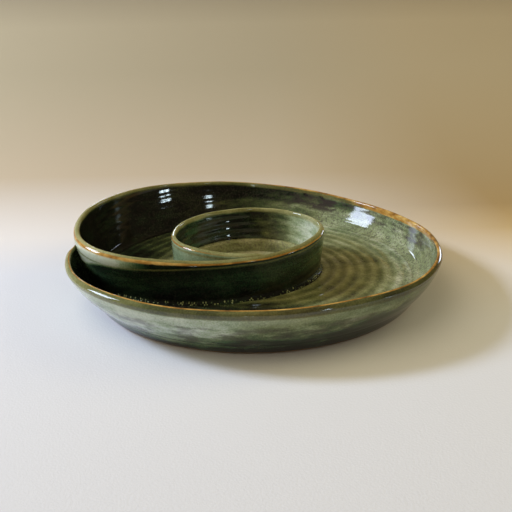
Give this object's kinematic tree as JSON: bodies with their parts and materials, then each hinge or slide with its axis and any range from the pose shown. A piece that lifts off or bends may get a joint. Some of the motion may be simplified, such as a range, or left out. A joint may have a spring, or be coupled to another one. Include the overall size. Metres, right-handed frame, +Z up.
{
  "type": "chip and dip server",
  "caption": "Round stoneware server whose flared side wall spirals inwards, divides the tray and closes as a round dip bowl; glossy mottled green glaze with brown rims.",
  "frame": {"origin": "on the table under the centre of the round foot", "axes": "+Z up; -Y towards the front, where the divider crosses the tray; +X right, the wall's outer end starts at -X"},
  "size_m": [0.2842, 0.2907, 0.0543],
  "materials": {
    "floor_glaze": "glossy olive-brown glaze over throwing rings",
    "wall_glaze": "glossy mottled grey-green glaze, brown where it breaks over the rim",
    "divider_glaze": "glossy black-green pooled glaze, brown where it breaks over the rim",
    "bowl_glaze": "glossy mint to dark green glaze, pale brown rim",
    "seam_glaze": "glossy olive glaze, paler on the tool marks",
    "bare_clay": "matt unglazed brown stoneware"
  },
  "bodies": {
    "root": {"floor_disc": "floor_glaze", "foot_ring": "bare_clay", "outer_wall": "wall_glaze", "divider_wall": "divider_glaze", "dip_bowl_wall": "bowl_glaze", "outer_seam_coil": "seam_glaze", "inner_seam_coil": "seam_glaze", "dip_bowl_seam_coil": "seam_glaze", "wall_start_seam_coil": "divider_glaze", "wall_end_seam_coil": "bowl_glaze"}
  },
  "joints": []
}
